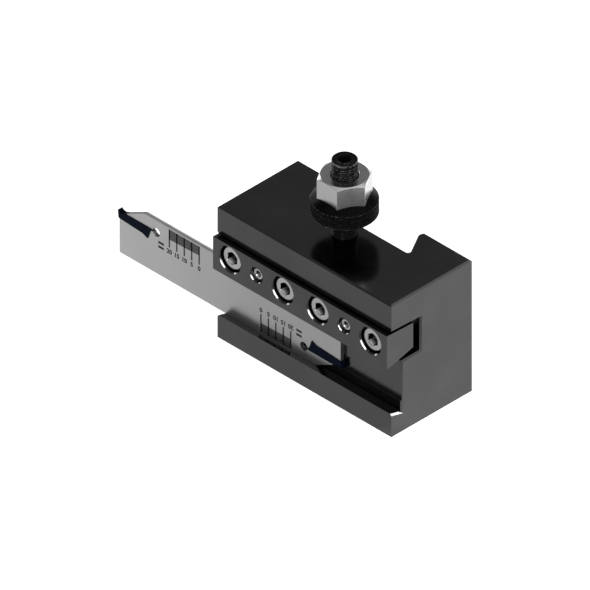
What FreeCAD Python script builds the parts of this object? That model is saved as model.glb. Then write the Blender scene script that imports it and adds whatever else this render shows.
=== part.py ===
import FreeCAD, Part
import math
import os
from FreeCAD import Vector

# Parting blade holder for a quick-change tool post, with its double-ended blade.
# Millimetres. X runs along the blade, -Y is the working front, +Y is the dovetail
# side that meets the tool post, +Z is up. The origin is the middle of the base.

# Holder body
BODY_LENGTH = 116.6
BODY_DEPTH = 54.0
BODY_HEIGHT = 76.2
END_CHAMFER = 0.9            # on both ends of the channel's outline and of the top

# Blade: a plate with V-shaped top and bottom edges
BLADE_LENGTH = 148.2
BLADE_HEIGHT = 31.2          # over the two V crests
BLADE_THICKNESS = 2.2
BLADE_OVERHANG = 70.3        # past the body's left end
BEVEL_ANGLE = 15.0           # of the V edges, of the lip and of the clamp's jaw

# Front channel of the body
LIP_HEIGHT = 13.1            # front edge of the lip that carries the blade
SEAT_DEPTH = 6.85            # flat that backs the blade, behind the front face
SEAT_FOOT_GROOVE = 0.9       # run-out groove where the lip meets the seat
INSERT_GROOVE_DEPTH = 0.5    # shallow groove that clears the stored insert
INSERT_GROOVE_MARGIN = 0.8
CHANNEL_DEPTH = 19.6         # back wall of the clamp's channel, behind the front face
CHANNEL_FLOOR_DROP = 2.0     # channel floor below the blade's top edge
ROOF_ANGLE = 2.5             # the roof falls towards the back and wedges the clamp down
ROOF_GAP = 0.7

# Clamp bar
CLAMP_PROUD = 3.0            # in front of the body's front face
CLAMP_HEIGHT = 19.5          # height of its front face
CLAMP_BACK_GAP = 5.0         # to the channel's back wall
CLAMP_NOSE_CHAMFER = 0.8

# Socket head cap screws, 5/16-18 UNC
CAP_INNER_X = 11.7
CAP_END_DISTANCE = 11.2        # outer screws, from the body's ends
SCREW_LINE_DROP = 8.2        # screw line below the clamp's top front edge
CAP_THREAD = 7.94
CAP_LENGTH = 22.2
CAP_HEAD_DIAMETER = 11.9
CAP_HEAD_HEIGHT = 7.9
CAP_HEAD_EDGE = 0.45
CAP_SOCKET = 6.35
CAP_SOCKET_DEPTH = 4.0
SOCKET_TURN = 30.0           # of both kinds of socket about the screw
CAP_RECESS = 1.6             # head face behind the clamp's front face
CAP_MOUTH_CHAMFER = 0.6
HEAD_CLEARANCE = 0.95        # on the radius
SHANK_CLEARANCE = 0.2        # on the radius, in the clamp bar
HOLE_RUN_OUT = 2.4           # tapped hole past the end of its screw
DRILL_POINT_ANGLE = 118.0

# Jack screws that push the clamp off, 1/4-28 UNF
JACK_THREAD = 6.35
JACK_SOCKET = 3.175
JACK_SOCKET_DEPTH = 3.0
JACK_RECESS = 1.5
JACK_COUNTERBORE = 7.8
JACK_COUNTERBORE_DEPTH = 2.5
JACK_MOUTH_CHAMFER = 0.5
JACK_EDGE = 0.4
THREAD_CLEARANCE = 0.05      # on the radius

# Pocket and insert: lengths along the blade, heights across it from its middle
NOSE_LENGTH = 16.8           # from the blade's end to where the sloping nose leaves its edge
JAW_SETBACK = 4.7            # upper jaw's tip, from the blade's end
JAW_TIP_HEIGHT = 9.1
INSERT_TOP = 8.7
INSERT_PAST_END = 0.8        # insert's tip ahead of the blade's end
INSERT_LENGTH = 22.5
INSERT_TIP_HEIGHT = 9.1
TAIL_FLARE_RUN = 2.5         # from the tail to its lowest point
TAIL_FLARE_HEIGHT = 2.35
TAIL_SWEEP = 0.25            # hollow of the tail's end
SEAT_RUN = 5.9               # from the tail to the start of the seat
SEAT_START_HEIGHT = 3.7
SEAT_SLOPE = 3.6
FRONT_RELIEF = 7.0
INSERT_WIDTH = 3.1
PRISM_RISE = 0.35            # V ridges of the jaws, in the insert's V grooves
CHIP_FORMER_LENGTH = 4.8
CHIP_FORMER_DEPTH = 1.0
KEYHOLE_DIAMETER = 4.8
KEYHOLE_SETBACK = 3.0        # behind the tail
KEYHOLE_HEIGHT = 8.4
NECK_WIDTH = 1.0             # slit that joins the keyhole to the pocket

# Dovetail groove in the back
DOVETAIL_DEPTH = 18.0
DOVETAIL_MOUTH = 48.4
DOVETAIL_ANGLE = 60.0
DOVETAIL_MOUTH_RADIUS = 3.0
DOVETAIL_FLOOR_RADIUS = 1.6

# Height stud with its knurled nut and lock nut, 1/2-20 UNF
STUD_DIAMETER = 12.7
STUD_RISE = 42.9             # above the body's top
STUD_HOLD = 14.0             # in the body
STUD_EDGE = 0.5
STUD_SOCKET = 6.35
STUD_SOCKET_DEPTH = 6.0
HEIGHT_NUT_DIAMETER = 32.8
HEIGHT_NUT_RIM = 8.3         # height of its knurled side
HEIGHT_NUT_LIFT = 12.0       # its underside above the body's top
HEIGHT_NUT_EDGE = 0.8
NUT_SEAT_DIAMETER = 22.4     # flat on top of the round nut, inside its cone
LOCK_NUT_ACROSS_FLATS = 23.8
LOCK_NUT_FACE_DIAMETER = 23.2
LOCK_NUT_THICKNESS = 10.9    # above its seat
LOCK_NUT_TURN = -0.5         # a corner's angle from +X
NUT_CHAMFER_ANGLE = 30.0     # of the nuts' cones
LOCK_NUT_SKIRT_GAP = 0.1     # under its corners, over the round nut's cone
LOCK_NUT_COUNTERSINK = 0.8   # round the stud, on top

# How far a cutter reaches past the face that it opens
PAST = 1.0
MOUTH_PAST = 5.0

# Places worked out from the sizes above
HALF_LENGTH = BODY_LENGTH / 2
CAP_OUTER_X = HALF_LENGTH - CAP_END_DISTANCE
FRONT = -BODY_DEPTH / 2
BACK = BODY_DEPTH / 2
SEAT = FRONT + SEAT_DEPTH
WALL = FRONT + CHANNEL_DEPTH
BEVEL = math.tan(math.radians(BEVEL_ANGLE))
V_RISE = BLADE_THICKNESS / 2 * BEVEL
BLADE_FACE = SEAT - BLADE_THICKNESS
BLADE_MIDDLE = SEAT - BLADE_THICKNESS / 2
BLADE_BOTTOM = LIP_HEIGHT - (BLADE_MIDDLE - FRONT) * BEVEL
BLADE_CENTRE_Z = BLADE_BOTTOM + BLADE_HEIGHT / 2
BLADE_CENTRE_X = -HALF_LENGTH - BLADE_OVERHANG + BLADE_LENGTH / 2
BLADE_TOP_EDGE = BLADE_BOTTOM + BLADE_HEIGHT - V_RISE
BLADE_END = BLADE_LENGTH / 2
NOSE_START = BLADE_END - NOSE_LENGTH
JAW_TIP = BLADE_END - JAW_SETBACK
INSERT_TIP = BLADE_END + INSERT_PAST_END
INSERT_TAIL = INSERT_TIP - INSERT_LENGTH
TAIL_FLARE = INSERT_TAIL + TAIL_FLARE_RUN
SEAT_START = INSERT_TAIL + SEAT_RUN
KEYHOLE_X = INSERT_TAIL - KEYHOLE_SETBACK
FLOOR = BLADE_TOP_EDGE - CHANNEL_FLOOR_DROP
CLAMP_FRONT = FRONT - CLAMP_PROUD
CLAMP_BACK = WALL - CLAMP_BACK_GAP
CLAMP_TOP = BLADE_TOP_EDGE - (BLADE_FACE - CLAMP_FRONT) * BEVEL + CLAMP_HEIGHT
SCREW_LINE = CLAMP_TOP - SCREW_LINE_DROP
JACK_X = (CAP_INNER_X + CAP_OUTER_X) / 2
HEIGHT_NUT_BOTTOM = BODY_HEIGHT + HEIGHT_NUT_LIFT
NUT_CONE = math.tan(math.radians(NUT_CHAMFER_ANGLE))
HEIGHT_NUT_THICKNESS = HEIGHT_NUT_RIM + (HEIGHT_NUT_DIAMETER - NUT_SEAT_DIAMETER) / 2 * NUT_CONE
LOCK_NUT_BOTTOM = HEIGHT_NUT_BOTTOM + HEIGHT_NUT_THICKNESS
STUD_TOP = BODY_HEIGHT + STUD_RISE

ALONG_X = Vector(1, 0, 0)
ALONG_Y = Vector(0, 1, 0)
ALONG_Z = Vector(0, 0, 1)


def outline_face(points):
    return Part.Face(Part.makePolygon(list(points) + [points[0]]))


def bar_along_x(outline, length):
    """Closed (y, z) outline carried along X, centred on x = 0."""
    points = [Vector(-length / 2, y, z) for y, z in outline]
    return outline_face(points).extrude(ALONG_X * length)


def hexagon(across_flats, centre, axis, length, turn=0.0):
    """Hexagonal prism from centre along axis; turn is a corner's angle about the axis."""
    up = axis.cross(ALONG_X)
    reach = across_flats / math.sqrt(3)
    corners = []
    for k in range(6):
        angle = math.radians(turn + 60 * k)
        corners.append(centre + (ALONG_X * math.cos(angle) + up * math.sin(angle)) * reach)
    return outline_face(corners).extrude(axis * length)


def turned(profile, start, axis):
    """Solid of revolution; profile lists (distance along the axis, radius)."""
    points = [start + axis * run + ALONG_X * radius for run, radius in profile]
    return outline_face(points).revolve(start, axis, 360)


def clamp_top_height(y):
    return CLAMP_TOP - (y - CLAMP_FRONT) * math.tan(math.radians(ROOF_ANGLE))


def roof_height(y):
    """Height of the channel's roof, which falls towards the back."""
    return clamp_top_height(y) + ROOF_GAP


def jaw_height(y):
    """Height of the clamp's underside, which bears on the blade's top bevel."""
    return BLADE_TOP_EDGE + (y - BLADE_FACE) * BEVEL


def lip_height(y):
    return LIP_HEIGHT - (y - FRONT) * BEVEL


def insert_groove_span():
    """Heights between which the stored insert runs when the blade slides."""
    low = BLADE_CENTRE_Z - INSERT_TIP_HEIGHT - INSERT_GROOVE_MARGIN
    high = BLADE_CENTRE_Z - TAIL_FLARE_HEIGHT + INSERT_GROOVE_MARGIN
    return low, high


def body_outline():
    groove_y = SEAT - SEAT_FOOT_GROOVE
    groove_z = lip_height(groove_y) - SEAT_FOOT_GROOVE / 2
    insert_low, insert_high = insert_groove_span()
    groove_back = SEAT + INSERT_GROOVE_DEPTH
    return [
        (FRONT, 0), (BACK, 0), (BACK, BODY_HEIGHT), (FRONT, BODY_HEIGHT),
        (FRONT, roof_height(FRONT)), (WALL, roof_height(WALL)),
        (WALL, FLOOR), (SEAT, FLOOR),
        (SEAT, insert_high), (groove_back, insert_high),
        (groove_back, insert_low), (SEAT, insert_low),
        (SEAT, groove_z), (groove_y, groove_z),
        (groove_y, lip_height(groove_y)), (FRONT, LIP_HEIGHT),
    ]


def channel_mouth(side):
    """Flare that chamfers the channel's outline at one end face; side is -1 or 1."""
    ahead = FRONT - MOUTH_PAST
    void = [(ahead, roof_height(ahead)), (WALL, roof_height(WALL)), (WALL, FLOOR),
            (SEAT, FLOOR), (SEAT, lip_height(SEAT)), (ahead, lip_height(ahead))]
    inner_x = side * (HALF_LENGTH - END_CHAMFER)
    inner = Part.makePolygon([Vector(inner_x, y, z) for y, z in void + void[:1]])
    outer = inner.makeOffset2D(END_CHAMFER, 2)
    outer.translate(Vector(side * END_CHAMFER, 0, 0))
    return Part.makeLoft([inner, outer], True, True)


def dovetail_cutter():
    floor = BACK - DOVETAIL_DEPTH
    spread = DOVETAIL_DEPTH / math.tan(math.radians(DOVETAIL_ANGLE))
    mouth = DOVETAIL_MOUTH / 2
    root = mouth + spread
    outer = mouth - PAST / math.tan(math.radians(DOVETAIL_ANGLE))
    points = [(-outer, BACK + PAST), (outer, BACK + PAST), (root, floor), (-root, floor)]
    face = outline_face([Vector(x, y, -PAST) for x, y in points])
    return face.extrude(ALONG_Z * (BODY_HEIGHT + 2 * PAST))


def tapped_hole(x):
    """Blind hole behind a cap screw, from the channel's back wall."""
    radius = CAP_THREAD / 2 + THREAD_CLEARANCE
    end = CLAMP_FRONT + CAP_RECESS + CAP_HEAD_HEIGHT + CAP_LENGTH + HOLE_RUN_OUT
    point = radius / math.tan(math.radians(DRILL_POINT_ANGLE / 2))
    depth = end - WALL
    profile = [(-PAST, 0), (-PAST, radius), (depth, radius), (depth + point, 0)]
    return turned(profile, Vector(x, WALL, SCREW_LINE), ALONG_Y)


def upright_groove_edges(body, y):
    """Edges of the dovetail groove that run the body's whole height at this depth."""
    edges = []
    for edge in body.Edges:
        middle = edge.CenterOfMass
        inside = abs(middle.x) < HALF_LENGTH - PAST and abs(middle.y - y) < 1e-6
        if inside and edge.BoundBox.ZLength > BODY_HEIGHT / 2:
            edges.append(edge)
    return edges


def cap_screw_places():
    return [-CAP_OUTER_X, -CAP_INNER_X, CAP_INNER_X, CAP_OUTER_X]


def holder_body():
    body = bar_along_x(body_outline(), BODY_LENGTH)
    top_edges = [e for e in body.Edges if abs(e.BoundBox.ZMin - BODY_HEIGHT) < 1e-6]
    body = body.makeChamfer(END_CHAMFER, top_edges)
    body = body.cut([channel_mouth(-1), channel_mouth(1)])
    body = body.cut(dovetail_cutter())
    body = body.makeFillet(DOVETAIL_MOUTH_RADIUS, upright_groove_edges(body, BACK))
    body = body.makeFillet(DOVETAIL_FLOOR_RADIUS, upright_groove_edges(body, BACK - DOVETAIL_DEPTH))
    for x in cap_screw_places():
        body = body.cut(tapped_hole(x))
    stud_foot = Vector(0, 0, BODY_HEIGHT - STUD_HOLD)
    return body.cut(Part.makeCylinder(STUD_DIAMETER / 2, STUD_HOLD + PAST, stud_foot))


def clamp_outline():
    nose = CLAMP_NOSE_CHAMFER
    return [
        (CLAMP_FRONT, CLAMP_TOP), (CLAMP_BACK, clamp_top_height(CLAMP_BACK)),
        (CLAMP_BACK, jaw_height(CLAMP_BACK)), (CLAMP_FRONT + nose, jaw_height(CLAMP_FRONT + nose)),
        (CLAMP_FRONT, jaw_height(CLAMP_FRONT) + nose),
    ]


def cap_screw_bore(x):
    """Counterbored hole with a chamfered mouth, right through the clamp bar."""
    through = CLAMP_BACK - CLAMP_FRONT + PAST
    head = CAP_HEAD_DIAMETER / 2 + HEAD_CLEARANCE
    seat = CAP_RECESS + CAP_HEAD_HEIGHT
    shank = CAP_THREAD / 2 + SHANK_CLEARANCE
    mouth = head + CAP_MOUTH_CHAMFER
    profile = [(-PAST, 0), (-PAST, mouth), (0, mouth), (CAP_MOUTH_CHAMFER, head), (seat, head),
               (seat, shank), (through, shank), (through, 0)]
    return turned(profile, Vector(x, CLAMP_FRONT, SCREW_LINE), ALONG_Y)


def jack_screw_bore(x):
    """Tapped hole right through the clamp bar, with a shallow counterbore and a chamfered mouth."""
    through = CLAMP_BACK - CLAMP_FRONT + PAST
    thread = JACK_THREAD / 2 + THREAD_CLEARANCE
    counterbore = JACK_COUNTERBORE / 2
    depth = JACK_COUNTERBORE_DEPTH
    mouth = counterbore + JACK_MOUTH_CHAMFER
    profile = [(-PAST, 0), (-PAST, mouth), (0, mouth), (JACK_MOUTH_CHAMFER, counterbore),
               (depth, counterbore), (depth, thread), (through, thread), (through, 0)]
    return turned(profile, Vector(x, CLAMP_FRONT, SCREW_LINE), ALONG_Y)


def clamp_bar():
    bar = bar_along_x(clamp_outline(), BODY_LENGTH)
    bores = [cap_screw_bore(x) for x in cap_screw_places()]
    bores += [jack_screw_bore(-JACK_X), jack_screw_bore(JACK_X)]
    return bar.cut(bores)


def cap_screw(x):
    """Socket head cap screw, its face at the front."""
    head = CAP_HEAD_DIAMETER / 2
    shank = CAP_THREAD / 2
    end = CAP_HEAD_HEIGHT + CAP_LENGTH
    profile = [(0, 0), (0, head - CAP_HEAD_EDGE), (CAP_HEAD_EDGE, head), (CAP_HEAD_HEIGHT, head),
               (CAP_HEAD_HEIGHT, shank), (end, shank), (end, 0)]
    face_centre = Vector(x, CLAMP_FRONT + CAP_RECESS, SCREW_LINE)
    screw = turned(profile, face_centre, ALONG_Y)
    socket_start = face_centre - ALONG_Y * PAST
    return screw.cut(hexagon(CAP_SOCKET, socket_start, ALONG_Y, CAP_SOCKET_DEPTH + PAST, SOCKET_TURN))


def jack_screw(x):
    """Set screw in the clamp bar that bears on the channel's back wall."""
    radius = JACK_THREAD / 2
    start = CLAMP_FRONT + JACK_RECESS
    length = WALL - start
    profile = [(0, 0), (0, radius - JACK_EDGE), (JACK_EDGE, radius), (length, radius), (length, 0)]
    face_centre = Vector(x, start, SCREW_LINE)
    screw = turned(profile, face_centre, ALONG_Y)
    socket_start = face_centre - ALONG_Y * PAST
    return screw.cut(hexagon(JACK_SOCKET, socket_start, ALONG_Y, JACK_SOCKET_DEPTH + PAST, SOCKET_TURN))


def at_blade(along, across, y=0.0):
    """Point of the left end of the blade from its distances along and across it."""
    return Vector(BLADE_CENTRE_X - along, BLADE_MIDDLE + y, BLADE_CENTRE_Z + across)


def seat_height(along):
    return SEAT_START_HEIGHT + (along - SEAT_START) * math.tan(math.radians(SEAT_SLOPE))


def insert_prism(width):
    """The insert's side outline, carried across its width."""
    y = -width / 2
    heel = INSERT_TIP - (INSERT_TIP_HEIGHT - seat_height(INSERT_TIP)) * math.tan(math.radians(FRONT_RELIEF))
    tip = at_blade(INSERT_TIP, INSERT_TIP_HEIGHT, y)
    former_end = at_blade(INSERT_TIP - CHIP_FORMER_LENGTH, INSERT_TOP, y)
    former_mid_height = (INSERT_TIP_HEIGHT + INSERT_TOP) / 2 - CHIP_FORMER_DEPTH
    former_mid = at_blade(INSERT_TIP - CHIP_FORMER_LENGTH / 2, former_mid_height, y)
    tail_top = at_blade(INSERT_TAIL, INSERT_TOP, y)
    tail_low = at_blade(TAIL_FLARE, TAIL_FLARE_HEIGHT, y)
    tail_mid = (tail_top + tail_low) * 0.5 + Vector(-TAIL_SWEEP, 0, 0)
    flare = at_blade(SEAT_START, SEAT_START_HEIGHT, y)
    heel_point = at_blade(heel, seat_height(heel), y)
    edges = [
        Part.Arc(tip, former_mid, former_end).toShape(),
        Part.makeLine(former_end, tail_top),
        Part.Arc(tail_top, tail_mid, tail_low).toShape(),
        Part.makeLine(tail_low, flare),
        Part.makeLine(flare, heel_point),
        Part.makeLine(heel_point, tip),
    ]
    return Part.Face(Part.Wire(edges)).extrude(ALONG_Y * width)


def jaw_ridge(start, end, rise):
    """V ridge along a jaw, as wide as the blade."""
    half = BLADE_THICKNESS / 2
    first = at_blade(*start)
    run = at_blade(*end) - first
    corners = [first - ALONG_Y * half, first + ALONG_Y * half, first + ALONG_Z * rise]
    return outline_face(corners).extrude(run)


def jaw_ridges():
    past = INSERT_TIP + PAST
    lower = jaw_ridge((SEAT_START, SEAT_START_HEIGHT), (past, seat_height(past)), PRISM_RISE)
    former = INSERT_TIP - CHIP_FORMER_LENGTH
    upper = jaw_ridge((INSERT_TAIL, INSERT_TOP), (former, INSERT_TOP), -PRISM_RISE)
    return [lower, upper]


def insert_at_left():
    insert = insert_prism(INSERT_WIDTH)
    for ridge in jaw_ridges():
        insert = insert.cut(ridge)
    return insert


def blade_cut(points):
    """Cutter through the blade with this (along, across) outline."""
    width = 3 * BLADE_THICKNESS
    face = outline_face([at_blade(along, across, -width / 2) for along, across in points])
    return face.extrude(ALONG_Y * width)


def nose_cut():
    """Slopes the blade's end down to the upper jaw's tip and bares the insert ahead of it."""
    above = BLADE_HEIGHT / 2 + PAST
    end = BLADE_END + PAST
    edge = BLADE_HEIGHT / 2 - V_RISE
    slope = (edge - JAW_TIP_HEIGHT) / (JAW_TIP - NOSE_START)
    bared = INSERT_TOP - PRISM_RISE - CHIP_FORMER_DEPTH
    return blade_cut([(NOSE_START - (above - edge) / slope, above), (JAW_TIP, JAW_TIP_HEIGHT),
                      (JAW_TIP, bared), (end, bared), (end, above)])


def pocket_cutter():
    """What is cut away at the left end for the insert, its key and the nose."""
    width = 3 * BLADE_THICKNESS
    pocket = insert_prism(width).cut(jaw_ridges())
    hole_centre = at_blade(KEYHOLE_X, KEYHOLE_HEIGHT, -width / 2)
    keyhole = Part.makeCylinder(KEYHOLE_DIAMETER / 2, width, hole_centre, ALONG_Y)
    neck_end = INSERT_TAIL + NECK_WIDTH / 2
    neck_low = INSERT_TOP - NECK_WIDTH
    neck = blade_cut([(KEYHOLE_X, neck_low), (neck_end, neck_low), (neck_end, INSERT_TOP),
                      (KEYHOLE_X, INSERT_TOP)])
    return pocket.fuse([keyhole, neck, nose_cut()])


def turned_end_for_end(shape):
    """The same shape at the blade's other end, half a turn about the blade's centre."""
    copy = shape.copy()
    copy.rotate(Vector(BLADE_CENTRE_X, BLADE_MIDDLE, BLADE_CENTRE_Z), ALONG_Y, 180)
    return copy


def blade():
    face = BLADE_HEIGHT / 2 - V_RISE
    crest = BLADE_HEIGHT / 2
    outline = []
    for y, z in [(BLADE_FACE, -face), (BLADE_MIDDLE, -crest), (SEAT, -face),
                 (SEAT, face), (BLADE_MIDDLE, crest), (BLADE_FACE, face)]:
        outline.append((y, BLADE_CENTRE_Z + z))
    plate = bar_along_x(outline, BLADE_LENGTH)
    plate.translate(Vector(BLADE_CENTRE_X, 0, 0))
    cutter = pocket_cutter()
    return plate.cut([cutter, turned_end_for_end(cutter)])


def height_stud():
    radius = STUD_DIAMETER / 2
    length = STUD_HOLD + STUD_RISE
    profile = [(0, 0), (0, radius - STUD_EDGE), (STUD_EDGE, radius), (length - STUD_EDGE, radius),
               (length, radius - STUD_EDGE), (length, 0)]
    stud = turned(profile, Vector(0, 0, BODY_HEIGHT - STUD_HOLD), ALONG_Z)
    socket_start = Vector(0, 0, STUD_TOP + PAST)
    return stud.cut(hexagon(STUD_SOCKET, socket_start, -ALONG_Z, STUD_SOCKET_DEPTH + PAST))


def nut_bore(bottom, thickness):
    """Plain hole through a nut, in place of its thread."""
    radius = STUD_DIAMETER / 2 + THREAD_CLEARANCE
    return Part.makeCylinder(radius, thickness + 2 * PAST, Vector(0, 0, bottom - PAST))


def height_nut():
    radius = HEIGHT_NUT_DIAMETER / 2
    profile = [(0, 0), (0, radius - HEIGHT_NUT_EDGE), (HEIGHT_NUT_EDGE, radius), (HEIGHT_NUT_RIM, radius),
               (HEIGHT_NUT_THICKNESS, NUT_SEAT_DIAMETER / 2), (HEIGHT_NUT_THICKNESS, 0)]
    disc = turned(profile, Vector(0, 0, HEIGHT_NUT_BOTTOM), ALONG_Z)
    return disc.cut(nut_bore(HEIGHT_NUT_BOTTOM, HEIGHT_NUT_THICKNESS))


def lock_nut():
    """Hexagon nut whose underside follows the round nut's cone out to its corners."""
    face = LOCK_NUT_FACE_DIAMETER / 2
    seat = NUT_SEAT_DIAMETER / 2
    corner = LOCK_NUT_ACROSS_FLATS / math.sqrt(3)
    skirt = (corner - seat) * NUT_CONE - LOCK_NUT_SKIRT_GAP
    drop = (corner - face) * NUT_CONE
    foot = Vector(0, 0, LOCK_NUT_BOTTOM - skirt)
    prism = hexagon(LOCK_NUT_ACROSS_FLATS, foot, ALONG_Z, LOCK_NUT_THICKNESS + skirt, LOCK_NUT_TURN)
    envelope = [(0, 0), (0, seat), (-skirt, corner), (LOCK_NUT_THICKNESS - drop, corner),
                (LOCK_NUT_THICKNESS, face), (LOCK_NUT_THICKNESS, 0)]
    seat_centre = Vector(0, 0, LOCK_NUT_BOTTOM)
    nut = prism.common(turned(envelope, seat_centre, ALONG_Z))
    sink_radius = STUD_DIAMETER / 2 + THREAD_CLEARANCE
    sink_foot = Vector(0, 0, LOCK_NUT_BOTTOM + LOCK_NUT_THICKNESS - LOCK_NUT_COUNTERSINK)
    sink_height = LOCK_NUT_COUNTERSINK + PAST
    countersink = Part.makeCone(sink_radius, sink_radius + sink_height, sink_height, sink_foot)
    return nut.cut([nut_bore(LOCK_NUT_BOTTOM, LOCK_NUT_THICKNESS), countersink])


def all_parts():
    parts = {"holder_body": holder_body(), "clamp_bar": clamp_bar()}
    for number, x in enumerate(cap_screw_places(), start=1):
        parts[f"clamp_screw_{number}"] = cap_screw(x)
    for number, x in enumerate((-JACK_X, JACK_X), start=1):
        parts[f"jack_screw_{number}"] = jack_screw(x)
    parts["blade"] = blade()
    parts["insert_working"] = insert_at_left()
    parts["insert_spare"] = turned_end_for_end(parts["insert_working"])
    parts["height_stud"] = height_stud()
    parts["height_nut"] = height_nut()
    parts["lock_nut"] = lock_nut()
    return parts


def export_parts():
    os.makedirs("parts", exist_ok=True)
    for name, shape in all_parts().items():
        solid = shape.Solids[0] if len(shape.Solids) == 1 else shape
        solid.exportStep(f"parts/{name}.step")
        print(name, "solids", len(shape.Solids), "volume", round(shape.Volume, 1), "valid", shape.isValid())


export_parts()
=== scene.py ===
import math

import bpy
import numpy as np
from mathutils import Matrix, Vector


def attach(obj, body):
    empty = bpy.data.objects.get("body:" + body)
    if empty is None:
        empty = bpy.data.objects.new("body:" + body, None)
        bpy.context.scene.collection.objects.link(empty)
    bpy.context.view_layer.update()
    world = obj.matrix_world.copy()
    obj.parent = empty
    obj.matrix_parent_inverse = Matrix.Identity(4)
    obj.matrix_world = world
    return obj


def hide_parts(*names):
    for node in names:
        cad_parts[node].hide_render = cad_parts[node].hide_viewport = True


# Parting blade holder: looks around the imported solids. Lengths are in millimetres in the
# record's frame and become metres when a mesh is made.

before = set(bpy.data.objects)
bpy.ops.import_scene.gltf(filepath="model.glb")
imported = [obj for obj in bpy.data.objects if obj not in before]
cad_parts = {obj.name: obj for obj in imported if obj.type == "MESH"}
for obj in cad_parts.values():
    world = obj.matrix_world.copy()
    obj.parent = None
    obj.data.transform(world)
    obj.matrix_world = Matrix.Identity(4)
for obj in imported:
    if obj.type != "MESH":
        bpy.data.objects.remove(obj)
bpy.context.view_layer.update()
MM = 0.001
INCH = 25.4

# Picture: pixels per millimetre, picture size, view direction and the point in its middle
PIXELS_PER_MM = 2.1094
PICTURE = 590
AZIMUTH = 45.0
ELEVATION = 35.27
VIEW_CENTRE = (-33.3, 0.0, 23.3)
CAMERA_DISTANCE = 1.2
LIGHT_DISTANCE = 1.3

# Clamp bar and its screws, as in the solids
CLAMP_FACE = -30.0
CHANNEL_WALL = -7.4
SCREW_LINE = 51.714
CAP_SCREWS = (-47.1, -11.7, 11.7, 47.1)
JACK_SCREWS = (-29.4, 29.4)

# Height stud and its two nuts, as in the solids
STUD_RADIUS = 6.35
STUD_FOOT = 62.2
STUD_TOP = 119.1
BORE_RADIUS = STUD_RADIUS + 0.05
RIM_RADIUS = 16.4
SEAT_RADIUS = 11.2
CONE_SLOPE = math.tan(math.radians(30))
ROUND_NUT_BOTTOM = 88.2
NUT_SEAT = ROUND_NUT_BOTTOM + 8.3 + (RIM_RADIUS - SEAT_RADIUS) * CONE_SLOPE

# Blade, as in the solids, and how far its etched marks reach into and out of its face
BLADE_FACE = -22.35
BLADE_CENTRE = (-54.5, 27.159)
INK = 0.02

# Threads: the groove's depth and the width of its flats, as parts of the pitch
THREAD_DEPTH = 0.58
THREAD_FLAT = 0.12

# Hexagons: the power of the mean that rounds the corners, how many of a socket's rows lie below
# its chamfer, which are painted dark as shade, and the direction and half the width, in degrees,
# of the wall whose mouth is painted as a lit patch
CORNER_POWER = 500
SOCKET_LINING = 6
LIT_WALL_SIDE = 240
LIT_WALL_HALF = 29


def make_mesh(name, points, faces):
    """Mesh object from millimetre points and faces, smooth between faces under 32 degrees apart."""
    mesh = bpy.data.meshes.new(name)
    mesh.from_pydata((np.asarray(points) * MM).tolist(), [], faces)
    mesh.validate()
    mesh.polygons.foreach_set("use_smooth", [True] * len(mesh.polygons))
    mesh.set_sharp_from_angle(angle=math.radians(32))
    piece = bpy.data.objects.new(name, mesh)
    bpy.context.scene.collection.objects.link(piece)
    return piece


def dress(piece, body, finish, replaced=()):
    """Gives a new piece its material and its body, and hides the nodes it stands for."""
    piece.data.materials.append(finish)
    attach(piece, body)
    if replaced:
        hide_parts(*replaced)


def around(count, turn=0.0):
    """Angles of count columns about an axis, the first at turn degrees."""
    return np.radians(turn) + np.linspace(0, 2 * np.pi, count, endpoint=False)


def around_hexagon(turn):
    """Angles about a hexagon, six of them close to each corner, the first corner at turn
    degrees."""
    side = np.concatenate([[-1.1, -0.6, -0.2, 0.2, 0.6, 1.1], np.linspace(3, 57, 10)])
    return np.radians(turn + (60 * np.arange(6)[:, None] + side[None, :]).ravel())


def hexagon_radius(angles, across_flats, turn):
    """Radius of a hexagon at each angle: a high power mean of its six side distances, which
    rounds its corners a little."""
    sides = np.radians(turn + 30 + 60 * np.arange(6))
    reach = np.maximum(np.cos(angles[:, None] - sides[None, :]), 0)
    return across_flats / 2 * (reach ** CORNER_POWER).sum(1) ** (-1 / CORNER_POWER)


def at_every_angle(rows, angles):
    """Rows of (radius, height), each a number or a value for every angle, as one array."""
    return np.array([np.stack(np.broadcast_arrays(*row, angles)[:2], axis=-1) for row in rows])


def soften(rows, angles, radius):
    """Rounds every corner of a profile: a corner becomes three points of a quadratic curve that
    leaves its two runs radius away, with one more row on each run that keeps the run's shading
    flat."""
    rows = at_every_angle(rows, angles)
    made = [rows[0]]
    for before, here, after in zip(rows, rows[1:], rows[2:]):
        ends = []
        for other in (before, after):
            run = other - here
            length = np.linalg.norm(run, axis=-1, keepdims=True)
            step = run / np.maximum(length, 1e-9) * np.minimum(radius, 0.3 * length)
            ends.append((here + step, here + 1.4 * step))
        (near, flat), (next_near, next_flat) = ends
        made += [flat, near, (near + 2 * here + next_near) / 4, next_near, next_flat]
    made.append(rows[-1])
    return [(row[..., 0], row[..., 1]) for row in made]


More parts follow.
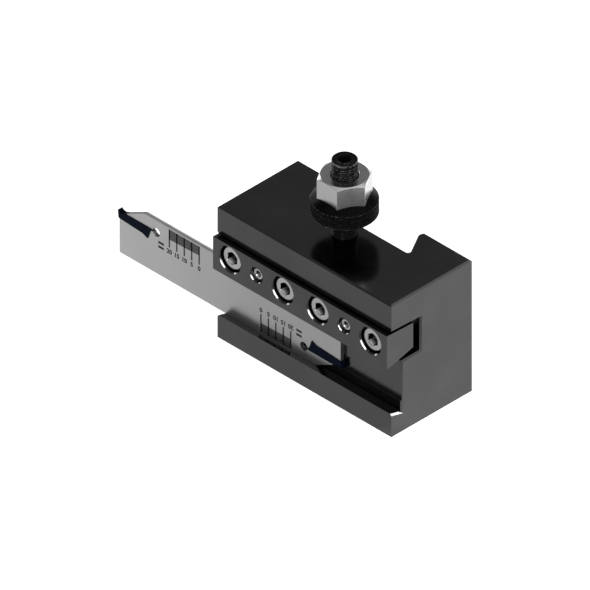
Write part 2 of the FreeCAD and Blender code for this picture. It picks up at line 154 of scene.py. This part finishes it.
def turned(name, angles, rows, foot, axis, closed=False, crest=None, inside=0, rubbed_and_lit=None):
    """Surface round an axis: each row is the radius and the height from foot at every angle.
    An open surface ends on the axis at both ends, a closed one joins its last row to its first.
    It stores three attributes: along, the profile's length so far, crest, 0 at the first and 1
    at the second of the radii in crest, and inside, 1 on the last rows that line a socket, which
    the material paints dark as shade, but 0.5 at the mouth of the wall in the given direction,
    which it paints as a lit patch."""
    up = np.array(axis, float)
    side = np.array((1.0, 0.0, 0.0))
    spoke = np.cos(angles)[:, None] * side + np.sin(angles)[:, None] * np.cross(up, side)
    table = at_every_angle(rows, angles)
    radii, heights = table[..., 0], table[..., 1]
    grid = np.array(foot, float) + radii[..., None] * spoke[None] + heights[..., None] * up
    index = np.arange(radii.size).reshape(radii.shape)
    lower = index if closed else index[:-1]
    upper = np.roll(index, -1, 0) if closed else index[1:]
    quads = np.stack([lower, np.roll(lower, -1, 1), np.roll(upper, -1, 1), upper], -1)
    points, faces = grid.reshape(-1, 3), quads.reshape(-1, 4).tolist()

    runs = np.linalg.norm(np.diff(table[:, 0], axis=0), axis=1)
    along = np.repeat(np.concatenate([[0], np.cumsum(runs)]), len(angles))
    worn = np.zeros(radii.size)
    if crest:
        worn = np.clip((radii.ravel() - crest[0]) / (crest[1] - crest[0]), 0, 1)
    # Socket rows get 1, painted dark as shade; on the wall in the given direction the first of them
    # gets 0.5, painted as a lit patch
    lining = np.repeat(np.arange(len(rows)) >= len(rows) - inside, len(angles)).astype(float)
    if rubbed_and_lit is not None:
        start = (len(rows) - inside) * len(angles)
        away = np.cos(angles - np.radians(rubbed_and_lit)) < math.cos(math.radians(LIT_WALL_HALF))
        lining[start:start + len(angles)] = np.where(away, 1.0, 0.5)

    if not closed:
        ends = [np.array(foot, float) + up * heights[row].mean() for row in (0, -1)]
        points = np.vstack([points, ends])
        first, last = len(points) - 2, len(points) - 1
        bottom, top = index[0], index[-1]
        faces += [(first, b, a) for a, b in zip(bottom.tolist(), np.roll(bottom, -1).tolist())]
        faces += [(last, a, b) for a, b in zip(top.tolist(), np.roll(top, -1).tolist())]
        along = np.concatenate([along, [along[0], along[-1]]])
        worn = np.concatenate([worn, [0, 0]])
        lining = np.concatenate([lining, [0, float(inside > 0)]])
    piece = make_mesh(name, points, faces)
    for label, values in (("along", along), ("crest", worn), ("inside", lining)):
        store = piece.data.attributes.new(label, "FLOAT", "POINT")
        store.data.foreach_set("value", values.astype(np.float32))
    return piece


def thread_rows(angles, radius, pitch, start, end, per_pitch=10, lead_in=1.0):
    """Right-hand thread between two heights. The radius drops from the crest by a flat-topped
    triangle wave of height over pitch less angle over a turn, and by a 45 degree cone at each
    end."""
    rows = []
    for height in np.linspace(start, end, int((end - start) / pitch * per_pitch)):
        phase = (height / pitch - angles / (2 * np.pi)) % 1.0
        wave = np.clip((np.abs(2 * phase - 1) - THREAD_FLAT) / (1 - 2 * THREAD_FLAT), 0, 1)
        cone = radius - lead_in + min(end - height, height - start)
        rows.append((np.minimum(radius - THREAD_DEPTH * pitch * wave, cone), height))
    return rows


def socket_rows(angles, across_flats, top, depth, turn):
    """Hexagon socket from its chamfered mouth down to its flat floor with a drilled middle."""
    hexagon = hexagon_radius(angles, across_flats, turn)
    half = across_flats / 2
    floor = top - depth
    drill = 0.22 * across_flats
    return [(half * 1.17, top), (np.maximum(hexagon, half * 1.03), top - 0.2),
            (hexagon, top - 0.35), (hexagon, floor + 0.1), (hexagon - 0.12, floor),
            (drill, floor), (0.5 * drill, floor - 0.2 * drill), (0.05, floor - 0.4 * drill)]


def threaded_stud(finish):
    """Stud with a 20 per inch thread up to a plain collar and a hexagon socket in its top."""
    angles = around(72)
    length, collar, pitch = STUD_TOP - STUD_FOOT, 1.6, INCH / 20
    rows = thread_rows(angles, STUD_RADIUS, pitch, 0, length - collar, lead_in=0.5)
    rows += [(STUD_RADIUS - 0.02, length - collar + 0.3), (STUD_RADIUS - 0.02, length - 0.3),
             (STUD_RADIUS - 0.3, length)]
    rows += socket_rows(angles, INCH / 4, length, depth=6.0, turn=0)
    root = STUD_RADIUS - THREAD_DEPTH * pitch
    piece = turned("threaded_stud", angles, rows, (0, 0, STUD_FOOT), (0, 0, 1),
                   crest=(root, STUD_RADIUS), inside=SOCKET_LINING)
    dress(piece, "holder", finish, ["height_stud"])


def knurled_rows(angles, radius, diamonds, depth, start, end, step):
    """Diamond knurl: at each angle and height the radius drops by depth where either of two
    crossed families of helical grooves is, each a triangle wave of the arc plus or minus the
    height, both over the diamonds' pitch."""
    rows = []
    pitch = 2 * np.pi * radius / diamonds
    arc = angles * diamonds / (2 * np.pi)
    for height in np.linspace(start, end, int((end - start) / step) + 1):
        waves = [1 - np.abs(2 * ((arc + sign * height / pitch) % 1.0) - 1) for sign in (1, -1)]
        land = np.clip(1.25 * np.minimum(*waves), 0, 1)
        fade = np.clip(min(height - start, end - height) / 0.3, 0, 1)
        rows.append((radius - depth * (1 - land) * fade, height))
    return rows


def knurled_height_nut(finish):
    """Round nut: a diamond-knurled rim under a cone that rises to the lock nut's seat."""
    diamonds = 96
    angles = around(diamonds * 5)
    top = NUT_SEAT - ROUND_NUT_BOTTOM
    rows = [(BORE_RADIUS + 0.8, 0), (RIM_RADIUS - 1.0, 0), (RIM_RADIUS - 0.8, 0.05),
            (RIM_RADIUS - 0.4, 0.4), (RIM_RADIUS - 0.05, 0.75)]
    rows += knurled_rows(angles, RIM_RADIUS, diamonds, depth=0.36, start=0.9, end=8.1, step=0.24)
    rows += [(RIM_RADIUS - 0.06, 8.26), (RIM_RADIUS - 0.25, 8.44),
             (SEAT_RADIUS + 0.25, top - 0.145), (SEAT_RADIUS, top), (BORE_RADIUS + 0.8, top),
             (BORE_RADIUS, top - 0.8), (BORE_RADIUS, 0.8)]
    piece = turned("knurled_height_nut", angles, rows, (0, 0, ROUND_NUT_BOTTOM), (0, 0, 1),
                   closed=True, crest=(RIM_RADIUS - 0.2, RIM_RADIUS))
    dress(piece, "round_nut", finish, ["height_nut"])


def bright_lock_nut(finish):
    """Hexagon nut: the hexagon cut by a 30 degree cone on top and by the round nut's cone below,
    with every corner of the profile rounded."""
    across_flats, turn, face, height = 23.8, -0.5, 11.6, 10.9
    angles = around_hexagon(turn)
    corner = across_flats / math.sqrt(3)
    skirt = (corner - SEAT_RADIUS) * CONE_SLOPE - 0.1
    hexagon = hexagon_radius(angles, across_flats, turn)
    low = -(hexagon - SEAT_RADIUS) * skirt / (corner - SEAT_RADIUS)
    high = height - (hexagon - face) * CONE_SLOPE
    rows = [(BORE_RADIUS, 0.8), (BORE_RADIUS + 0.8, 0.02), (SEAT_RADIUS, 0.02),
            (hexagon, low + 0.02), (hexagon, high), (face, height),
            (BORE_RADIUS + 0.8, height), (BORE_RADIUS, height - 0.8)]
    piece = turned("bright_lock_nut", angles, soften(rows, angles, 0.22), (0, 0, NUT_SEAT),
                   (0, 0, 1), closed=True)
    dress(piece, "hex_nut", finish, ["lock_nut"])


def fluted_rows(angles, radius, flutes, depth, start, end):
    """Straight knurl of a cap screw's head: a cosine round the head, faded out at both ends."""
    wave = depth * (0.5 - 0.5 * np.cos(angles * flutes))
    return [(radius - wave * part, height)
            for height, part in ((start, 0), (start + 0.3, 1), (end - 0.3, 1), (end, 0))]


def cap_screws(finish):
    """Four socket head cap screws, 18 threads per inch, their heads sunk in the clamp bar."""
    angles = around(144, 30)
    thread, head, shank, head_height, sunk = 3.97, 5.95, 22.2, 7.9, 1.6
    length = shank + head_height
    rows = thread_rows(angles, thread, INCH / 18, 0, shank, per_pitch=6, lead_in=0.7)
    rows += [(thread - 0.3, shank), (head - 0.35, shank), (head, shank + 0.3)]
    rows += fluted_rows(angles, head, flutes=36, depth=0.22, start=shank + 0.4,
                        end=length - 0.9)
    rows += [(head, length - 0.45), (head - 0.12, length - 0.16), (head - 0.42, length - 0.01),
             (head - 0.6, length)]
    rows += socket_rows(angles, INCH / 4, length, depth=4.0, turn=30)
    for number, x in enumerate(CAP_SCREWS, 1):
        foot = (x, CLAMP_FACE + sunk + length, SCREW_LINE)
        piece = turned(f"cap_screw_{number}", angles, rows, foot, (0, -1, 0),
                       inside=SOCKET_LINING, rubbed_and_lit=LIT_WALL_SIDE)
        dress(piece, f"cap_screw_{number}", finish, [f"clamp_screw_{number}"])


def jack_screws(finish):
    """Two socket set screws, 28 threads per inch, that bear on the channel's back wall."""
    angles = around(72, 30)
    radius, sunk = 3.175, 1.5
    length = CHANNEL_WALL - CLAMP_FACE - sunk
    rows = thread_rows(angles, radius, INCH / 28, 0, length, per_pitch=6, lead_in=0.4)
    rows += [(radius - 0.45, length)]
    rows += socket_rows(angles, INCH / 8, length, depth=3.0, turn=30)
    for number, x in enumerate(JACK_SCREWS, 1):
        foot = (x, CHANNEL_WALL, SCREW_LINE)
        piece = turned(f"jack_screw_socketed_{number}", angles, rows, foot, (0, -1, 0),
                       inside=SOCKET_LINING, rubbed_and_lit=LIT_WALL_SIDE)
        dress(piece, f"jack_{number}", finish, [f"jack_screw_{number}"])


def bars_on_blade(boxes):
    """Points and faces of thin bars on the blade's face, one for each (left, right, low, high)."""
    low_high = np.asarray(boxes, float)
    x = low_high[:, [0, 1, 1, 0, 0, 1, 1, 0]]
    z = low_high[:, [2, 2, 3, 3, 2, 2, 3, 3]]
    y = np.broadcast_to(BLADE_FACE + np.repeat([-INK, INK], 4), x.shape)
    points = np.stack([x, y, z], -1).reshape(-1, 3)
    sides = np.array([(0, 1, 2, 3), (4, 7, 6, 5), (0, 4, 5, 1), (1, 5, 6, 2), (2, 6, 7, 3),
                      (3, 7, 4, 0)])
    faces = (sides[None] + 8 * np.arange(len(boxes))[:, None, None]).reshape(-1, 4)
    return points, faces


def numeral_on_blade(text, size, x, z):
    """Points and faces of a numeral as thick as the bars, its middle at x and its top at z."""
    curve = bpy.data.curves.new("numeral", "FONT")
    curve.body = text
    curve.size = size
    curve.extrude = INK
    curve.offset = 0.14
    curve.resolution_u = 3
    curve.align_x = "CENTER"
    curve.align_y = "TOP"
    letter = bpy.data.objects.new("numeral", curve)
    bpy.context.scene.collection.objects.link(letter)
    mesh = bpy.data.meshes.new_from_object(letter)
    flat = np.empty(len(mesh.vertices) * 3)
    mesh.vertices.foreach_get("co", flat)
    flat = flat.reshape(-1, 3)
    points = np.stack([x + flat[:, 0], BLADE_FACE - flat[:, 2], z + flat[:, 1]], -1)
    faces = [tuple(face.vertices) for face in mesh.polygons]
    bpy.data.objects.remove(letter)
    bpy.data.curves.remove(curve)
    bpy.data.meshes.remove(mesh)
    return points, faces


def blade_scale(finish):
    """Etched scale near the top of the blade's left end, and the same half a turn round at its
    other end: 20 mm in half millimetres, a long line every 5 mm with its number, and a pair of
    short bars."""
    left, top = -95.2, 41.6
    fine_half, long_half, long_line = 0.19, 0.42, 10.5
    numeral_drop, numeral_size = 11.2, 3.5
    bar_left, bar_right, bar_height = -102.6, -98.9, 1.25
    steps = np.arange(41)
    lines = left + 0.5 * steps
    length = 5.9 - 0.7 * steps / 40
    boxes = [(x - fine_half, x + fine_half, top - down, top) for x, down in zip(lines, length)]
    boxes += [(x - long_half, x + long_half, top - long_line, top) for x in lines[::10]]
    boxes += [(bar_left, bar_right, low, low + bar_height) for low in (30.1, 27.6)]
    parts = [bars_on_blade(boxes)]
    for x, text in zip(lines[::10], ("20", "15", "10", "5", "0")):
        parts.append(numeral_on_blade(text, numeral_size, x, top - numeral_drop))
    points, faces, count = [], [], 0
    for turn in (1, -1):
        for spots, polygons in parts:
            placed = np.array(spots)
            if turn < 0:
                placed[:, 0] = 2 * BLADE_CENTRE[0] - placed[:, 0]
                placed[:, 2] = 2 * BLADE_CENTRE[1] - placed[:, 2]
            points.append(placed)
            faces += [tuple(int(corner) + count for corner in face) for face in polygons]
            count += len(placed)
    piece = make_mesh("blade_scale", np.vstack(points), faces)
    dress(piece, "blade_set", finish)


def add(tree, kind, inputs=None, **settings):
    """Node of one kind with its settings; an input given as a socket is linked, else set."""
    node = tree.nodes.new("ShaderNode" + kind)
    for key, value in settings.items():
        setattr(node, key, value)
    for key, value in (inputs or {}).items():
        if isinstance(value, bpy.types.NodeSocket):
            tree.links.new(value, node.inputs[key])
        else:
            node.inputs[key].default_value = value
    return node


def group(name, takes, gives):
    """Empty node group with named inputs (name, kind, value) and outputs (name, kind)."""
    tree = bpy.data.node_groups.new(name, "ShaderNodeTree")
    for label, kind, value in takes:
        socket = tree.interface.new_socket(label, in_out="INPUT", socket_type="NodeSocket" + kind)
        if value is not None:
            socket.default_value = value
    for label, kind in gives:
        tree.interface.new_socket(label, in_out="OUTPUT", socket_type="NodeSocket" + kind)
    return tree, tree.nodes.new("NodeGroupInput").outputs, tree.nodes.new("NodeGroupOutput").inputs


def use(tree, made, **inputs):
    """Outputs of a group placed in a material with its own values."""
    return add(tree, "Group", inputs, node_tree=made).outputs


def span(tree, value, low, high, to_low=0.0, to_high=1.0):
    """Value taken from low..high to to_low..to_high, clamped."""
    return add(tree, "MapRange", {0: value, 1: low, 2: high, 3: to_low, 4: to_high}).outputs[0]


def maths(tree, operation, first, second=0.0):
    """Result of one Math node."""
    return add(tree, "Math", {0: first, 1: second}, operation=operation).outputs[0]


def times(tree, first, second):
    """First times second."""
    return maths(tree, "MULTIPLY", first, second)


def plus(tree, first, second):
    """First plus second."""
    return maths(tree, "ADD", first, second)


def blended(tree, share, first, second):
    """A share of the first value plus the rest of the second."""
    return plus(tree, times(tree, first, share), times(tree, second, 1 - share))


def noise(tree, place, scale, detail, roughness=0.5, dimensions="3D"):
    """Noise texture's value, over a place vector or along one number."""
    socket = "W" if dimensions == "1D" else "Vector"
    inputs = {socket: place, "Scale": scale, "Detail": detail, "Roughness": roughness}
    return add(tree, "TexNoise", inputs, noise_dimensions=dimensions).outputs[0]


def edge_group():
    """Worn edges: Wear is how far the rounded normal leaves the face's own, broken up by noise,
    and Normal is the rounded one."""
    tree, given, out = group("edge_wear", [("Place", "Vector", None), ("Width", "Float", 0.0003)],
                             [("Wear", "Float"), ("Normal", "Vector")])
    rounded = add(tree, "Bevel", {"Radius": given["Width"]}, samples=6).outputs[0]
    own = add(tree, "NewGeometry").outputs["True Normal"]
    dot = add(tree, "VectorMath", {0: rounded, 1: own}, operation="DOT_PRODUCT").outputs["Value"]
    edge = span(tree, dot, 0.995, 0.86)
    patches = span(tree, noise(tree, given["Place"], 420, 4, 0.65), 0.42, 0.62)
    tree.links.new(times(tree, edge, patches), out["Wear"])
    tree.links.new(rounded, out["Normal"])
    return tree


def grain_group():
    """Fine surface: Tone is a slow mottle with a little fine grain, Height is the grain alone."""
    takes = [("Place", "Vector", None), ("Mottle", "Float", 60.0), ("Grain", "Float", 2600.0)]
    tree, given, out = group("fine_grain", takes, [("Tone", "Float"), ("Height", "Float")])
    slow = noise(tree, given["Place"], given["Mottle"], 4.0)
    fine = noise(tree, given["Place"], given["Grain"], 2.0)
    tree.links.new(blended(tree, 0.65, span(tree, slow, 0.3, 0.7), fine), out["Tone"])
    tree.links.new(fine, out["Height"])
    return tree


def lines_group():
    """Tool lines: noise along one number, coarse and fine, as Tone and as Height."""
    tree, given, out = group("tool_lines", [("Across", "Float", 0.0), ("Spacing", "Float", 4.0)],
                             [("Tone", "Float"), ("Height", "Float")])
    number = times(tree, given["Across"], given["Spacing"])
    coarse = noise(tree, number, 1.0, 2, dimensions="1D")
    fine = noise(tree, number, 5.0, 2, dimensions="1D")
    both = blended(tree, 0.6, coarse, fine)
    tree.links.new(span(tree, both, 0.3, 0.7), out["Tone"])
    tree.links.new(both, out["Height"])
    return tree


def material(name, **constants):
    """New material; what is the same all over goes on the Principled shader's own sockets."""
    made = bpy.data.materials.new(name)
    made.use_nodes = True
    tree = made.node_tree
    shader = tree.nodes["Principled BSDF"]
    for key, value in constants.items():
        shader.inputs[key.replace("_", " ")].default_value = value
    place = add(tree, "TexCoord").outputs["Object"]
    return made, tree, shader, place


def colour_between(tree, factor, first, second):
    """Mix of two colours, each a socket, three numbers or one number for a grey."""
    inputs = {0: factor}
    for index, value in ((6, first), (7, second)):
        if isinstance(value, float):
            value = (value,) * 3
        inputs[index] = (*value, 1.0) if isinstance(value, tuple) else value
    return add(tree, "Mix", inputs, data_type="RGBA").outputs[2]


def joined(tree, shader, colour, roughness, bump, rounded=None):
    """Links colour and roughness to the shader, and a bump of (height, metres of distance,
    strength) over the rounded normal where there is one."""
    tree.links.new(colour, shader.inputs["Base Color"])
    tree.links.new(roughness, shader.inputs["Roughness"])
    height, distance, strength = bump
    node = add(tree, "Bump", {"Height": height, "Distance": distance, "Strength": strength})
    if rounded is not None:
        tree.links.new(rounded, node.inputs["Normal"])
    tree.links.new(node.outputs[0], shader.inputs["Normal"])


def black_oxide(grain, edges):
    """Blackened ground steel: a dark metal with a faint mottle, its edges worn grey."""
    made, tree, shader, place = material("black_oxide", Metallic=1.0)
    skin = use(tree, grain, Place=place, Mottle=45.0, Grain=2400.0)
    worn = use(tree, edges, Place=place, Width=0.00015)
    dark = colour_between(tree, skin["Tone"], (0.135, 0.135, 0.137), (0.165, 0.165, 0.166))
    colour = colour_between(tree, times(tree, worn["Wear"], 0.25), dark, 0.5)
    roughness = span(tree, skin["Tone"], 0.2, 0.8, 0.13, 0.19)
    joined(tree, shader, colour, roughness, (skin["Height"], 0.00002, 0.12), worn["Normal"])
    return made


def ground_blade(grain, lines, edges):
    """Ground steel: grey, with fine lines along the blade and bright edges, and darker and
    duller where it is cut across."""
    made, tree, shader, place = material("ground_blade", Metallic=1.0)
    across = add(tree, "SeparateXYZ", {0: place}).outputs["Z"]
    skin = use(tree, grain, Place=place, Mottle=70.0, Grain=3000.0)
    cut = use(tree, lines, Across=times(tree, across, 1000.0), Spacing=3.0)
    worn = use(tree, edges, Place=place, Width=0.00015)
    tone = blended(tree, 0.5, skin["Tone"], cut["Tone"])
    ground = colour_between(tree, tone, 0.61, (0.72, 0.72, 0.715))
    own = add(tree, "NewGeometry").outputs["True Normal"]
    facing = maths(tree, "ABSOLUTE", add(tree, "SeparateXYZ", {0: own}).outputs["Y"])
    sawn = span(tree, facing, 0.1, 0.2, 1.0, 0.0)
    grey = colour_between(tree, sawn, ground, 0.2)
    colour = colour_between(tree, times(tree, worn["Wear"], 0.6), grey, 0.9)
    roughness = plus(tree, span(tree, tone, 0.2, 0.8, 0.30, 0.40), times(tree, sawn, 0.15))
    joined(tree, shader, colour, roughness, (cut["Height"], 0.00001, 0.25), worn["Normal"])
    return made


def turned_steel(name, lines, grain, low, high, rough):
    """Turned metal: rings across the profile's length and a little grain. A socket's lining is
    painted dark as shade, but at the mouth of one wall it keeps its grey and is made dull, not
    metallic, as a painted lit patch."""
    made, tree, shader, place = material(name)
    across = add(tree, "Attribute", attribute_name="along").outputs["Fac"]
    rings = use(tree, lines, Across=across, Spacing=3.0)
    skin = use(tree, grain, Place=place, Mottle=260.0, Grain=4000.0)
    tone = blended(tree, 0.55, rings["Tone"], skin["Tone"])
    lining = add(tree, "Attribute", attribute_name="inside").outputs["Fac"]
    # Painted shade: sunk darkens the socket's lining. Painted light: dull keeps the one wall's
    # mouth grey and not metallic, a lit patch
    sunk = span(tree, lining, 0.5, 1.0)
    dull = maths(tree, "SUBTRACT", span(tree, lining, 0.0, 0.5), sunk)
    grey = colour_between(tree, tone, low, high)
    # The lining's near-black colour is painted shade
    colour = colour_between(tree, sunk, grey, (0.04, 0.04, 0.042))
    tree.links.new(span(tree, dull, 0.0, 1.0, 1.0, 0.1), shader.inputs["Metallic"])
    roughness = span(tree, tone, 0.2, 0.8, *rough)
    joined(tree, shader, colour, roughness, (rings["Height"], 0.00001, 0.3))
    return made


def blackened_crests(name, grain, dark, bare, rough, share, gloss, above=0.0):
    """Blackened metal worn bare on the crests of its thread or knurl above a height; below it the
    crests stay black, as painted shade under a nut and as less wear.
    """
    made, tree, shader, place = material(name, Specular_IOR_Level=gloss)
    crest = add(tree, "Attribute", attribute_name="crest").outputs["Fac"]
    height = add(tree, "SeparateXYZ", {0: place}).outputs["Z"]
    skin = use(tree, grain, Place=place, Mottle=900.0, Grain=4200.0)
    patches = times(tree, span(tree, crest, 0.75, 1.0), span(tree, skin["Tone"], 0.35, 0.85))
    # Painted shade: below the height the crests stay black, for the shade under the nut, as well as
    # less wear there
    reach = span(tree, height, (above - 1) * MM, above * MM, 0.0, share)
    rubbed_and_lit = times(tree, patches, reach)
    deep = colour_between(tree, skin["Tone"], dark, tuple(2.2 * part for part in dark))
    colour = colour_between(tree, rubbed_and_lit, deep, bare)
    tree.links.new(rubbed_and_lit, shader.inputs["Metallic"])
    roughness = span(tree, skin["Tone"], 0.2, 0.8, *rough)
    joined(tree, shader, colour, roughness, (skin["Height"], 0.00002, 0.2))
    return made


def coated_carbide(grain, edges):
    """Dark blue-black coated carbide, finely pressed, with a bright ground edge."""
    made, tree, shader, place = material("coated_carbide", Specular_IOR_Level=0.03)
    skin = use(tree, grain, Place=place, Mottle=300.0, Grain=5200.0)
    worn = use(tree, edges, Place=place, Width=0.00012)
    deep = colour_between(tree, skin["Tone"], (0.0008, 0.0022, 0.006), (0.0016, 0.0045, 0.012))
    colour = colour_between(tree, times(tree, worn["Wear"], 0.3), deep, (0.25, 0.26, 0.27))
    roughness = span(tree, skin["Tone"], 0.2, 0.8, 0.3, 0.42)
    joined(tree, shader, colour, roughness, (skin["Height"], 0.00001, 0.3), worn["Normal"])
    return made


def etched_ink(grain):
    """Black etched marks, a little uneven."""
    made, tree, shader, place = material("etched_ink", Specular_IOR_Level=0.1)
    skin = use(tree, grain, Place=place, Mottle=500.0, Grain=5000.0)
    colour = colour_between(tree, skin["Tone"], (0.006, 0.006, 0.007), (0.03, 0.03, 0.032))
    roughness = span(tree, skin["Tone"], 0.2, 0.8, 0.5, 0.7)
    joined(tree, shader, colour, roughness, (skin["Height"], 0.00001, 0.3))
    return made


def pale_floor(grain):
    """Plain pale floor, lit from below so that no shadow on it is deep. Polished metal mirrors it
    as a graded grey: darker on the right in front, lighter on the right and behind."""
    made, tree, shader, place = material("pale_floor", Roughness=0.9, Emission_Strength=0.78,
                                         Emission_Color=(1, 1, 1, 1))
    skin = use(tree, grain, Place=place, Mottle=4.0, Grain=60.0)
    tree.links.new(colour_between(tree, skin["Tone"], 0.86, 0.9), shader.inputs["Base Color"])
    spot = add(tree, "SeparateXYZ", {0: place}).outputs
    rightward = plus(tree, spot["X"], spot["Y"])
    frontward = maths(tree, "SUBTRACT", spot["X"], spot["Y"])
    sides = span(tree, rightward, 0.018, 0.044, 0.42, 0.73)
    shaded = times(tree, sides, span(tree, frontward, 0.10, 0.18, 1.0, 0.45))
    level = plus(tree, shaded, span(tree, frontward, 0.0, -0.15, 0.0, 0.25))
    mirrored = add(tree, "Emission", {"Strength": level}).outputs[0]
    seen = add(tree, "LightPath").outputs["Is Glossy Ray"]
    both = add(tree, "MixShader", {0: seen, 1: shader.outputs[0], 2: mirrored}).outputs[0]
    tree.links.new(both, tree.nodes["Material Output"].inputs["Surface"])
    return made


def grey_surround():
    """World: pale at the horizon but for the front, dark above it, lighter overhead but for the
    left, and lighter towards the right. Where the picture shows it past the floor, it is as
    white as the floor."""
    world = bpy.data.worlds.new("grey_surround")
    world.use_nodes = True
    tree = world.node_tree
    way = add(tree, "SeparateXYZ", {0: add(tree, "TexCoord").outputs["Generated"]}).outputs
    horizon = times(tree, span(tree, way["Z"], 0.1, 0.36, 0.95, 0.0),
                    span(tree, way["Y"], -0.65, -0.25))
    overhead = times(tree, span(tree, way["Z"], 0.66, 0.8, 0.0, 0.28),
                     span(tree, way["X"], -0.52, -0.42))
    level = plus(tree, plus(tree, horizon, 0.125), overhead)
    level = plus(tree, level, span(tree, way["X"], 0.1, 0.5, 0.0, 0.4))
    level = maths(tree, "MAXIMUM", level, add(tree, "LightPath").outputs["Is Camera Ray"])
    tree.links.new(level, tree.nodes["Background"].inputs["Strength"])
    tree.nodes["Background"].inputs["Color"].default_value = (1, 1, 1, 1)
    return world


def soft_light(name, way, size, along, power):
    """Rectangular soft light seen from the object in the direction way, its first side along the
    given direction, its size in metres."""
    lamp = bpy.data.lights.new(name, "AREA")
    lamp.shape = "RECTANGLE"
    lamp.size, lamp.size_y = size
    lamp.energy = power
    out = Vector(way).normalized()
    first = (Vector(along) - out * out.dot(Vector(along))).normalized()
    holder = bpy.data.objects.new(name, lamp)
    holder.location = Vector(VIEW_CENTRE) * MM + out * LIGHT_DISTANCE
    holder.rotation_euler = Matrix((first, out.cross(first), out)).transposed().to_euler()
    holder.visible_camera = False
    bpy.context.scene.collection.objects.link(holder)


def picture_camera():
    """Camera at the picture's angle and scale, looking at the middle of the picture."""
    eye = bpy.data.cameras.new("picture_camera")
    eye.type = "ORTHO"
    eye.ortho_scale = PICTURE / PIXELS_PER_MM * MM
    eye.clip_end = 20
    camera = bpy.data.objects.new("picture_camera", eye)
    turn, rise = math.radians(AZIMUTH), math.radians(ELEVATION)
    toward = Vector((math.sin(turn) * math.cos(rise), -math.cos(turn) * math.cos(rise),
                     math.sin(rise)))
    camera.location = Vector(VIEW_CENTRE) * MM + toward * CAMERA_DISTANCE
    camera.rotation_euler = toward.to_track_quat("Z", "Y").to_euler()
    bpy.context.scene.collection.objects.link(camera)
    bpy.context.scene.camera = camera


def studio(grain):
    """Camera, pale floor just below the base, grey surround and soft lights."""
    picture_camera()
    reach = np.linspace(-3000, 3000, 13)
    x, y = np.meshgrid(reach, reach)
    corners = np.stack([x, y, np.full_like(x, -0.02)], -1).reshape(-1, 3)
    index = np.arange(x.size).reshape(x.shape)
    quads = np.stack([index[:-1, :-1], index[:-1, 1:], index[1:, 1:], index[1:, :-1]], -1)
    floor = make_mesh("studio_floor", corners, quads.reshape(-1, 4).tolist())
    floor.data.materials.append(pale_floor(grain))

    bpy.context.scene.world = grey_surround()
    bpy.context.scene.view_settings.view_transform = "Standard"
    soft_light("front_strip", (0.48, -0.81, 0.33), (1.5, 0.16), (-1, 0, 1), 9.75)
    soft_light("back_light", (0.408, 0.832, 0.374), (0.4, 0.2), (1, 0, 0), 2.2)
    soft_light("left_light", (-0.95, -0.26, 0.17), (0.25, 0.2), (0, 1, 0), 0.8)
    soft_light("left_panel", (-0.883, 0.058, 0.466), (0.45, 0.3), (0, 1, 0), 0.8)


def finish_nodes(finish, *nodes):
    """New material for solids that keep their own shape."""
    for name in nodes:
        for material_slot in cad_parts[name].material_slots:
            material_slot.material = finish


grain, edges, lines = grain_group(), edge_group(), lines_group()
finish_nodes(black_oxide(grain, edges), "holder_body", "clamp_bar")
finish_nodes(ground_blade(grain, lines, edges), "blade")
finish_nodes(coated_carbide(grain, edges), "insert_working", "insert_spare")
bright = turned_steel("bright_zinc", lines, grain, (0.82, 0.82, 0.83), (0.92, 0.92, 0.93),
                      (0.17, 0.25))
steel = turned_steel("screw_steel", lines, grain, 0.74, 0.86, (0.2, 0.3))
# The stud's crests stay black below the round nut: painted shade under it, as well as less wear
dark_stud = blackened_crests("dark_stud", grain, (0.004, 0.004, 0.0043), 0.34, (0.22, 0.32),
                             share=0.7, gloss=0.1, above=ROUND_NUT_BOTTOM + 6)
black_knurl = blackened_crests("black_knurl", grain, (0.001, 0.001, 0.001), 0.7, (0.2, 0.3),
                               share=0.3, gloss=0.07)
threaded_stud(dark_stud)
knurled_height_nut(black_knurl)
bright_lock_nut(bright)
cap_screws(steel)
jack_screws(steel)
blade_scale(etched_ink(grain))
studio(grain)
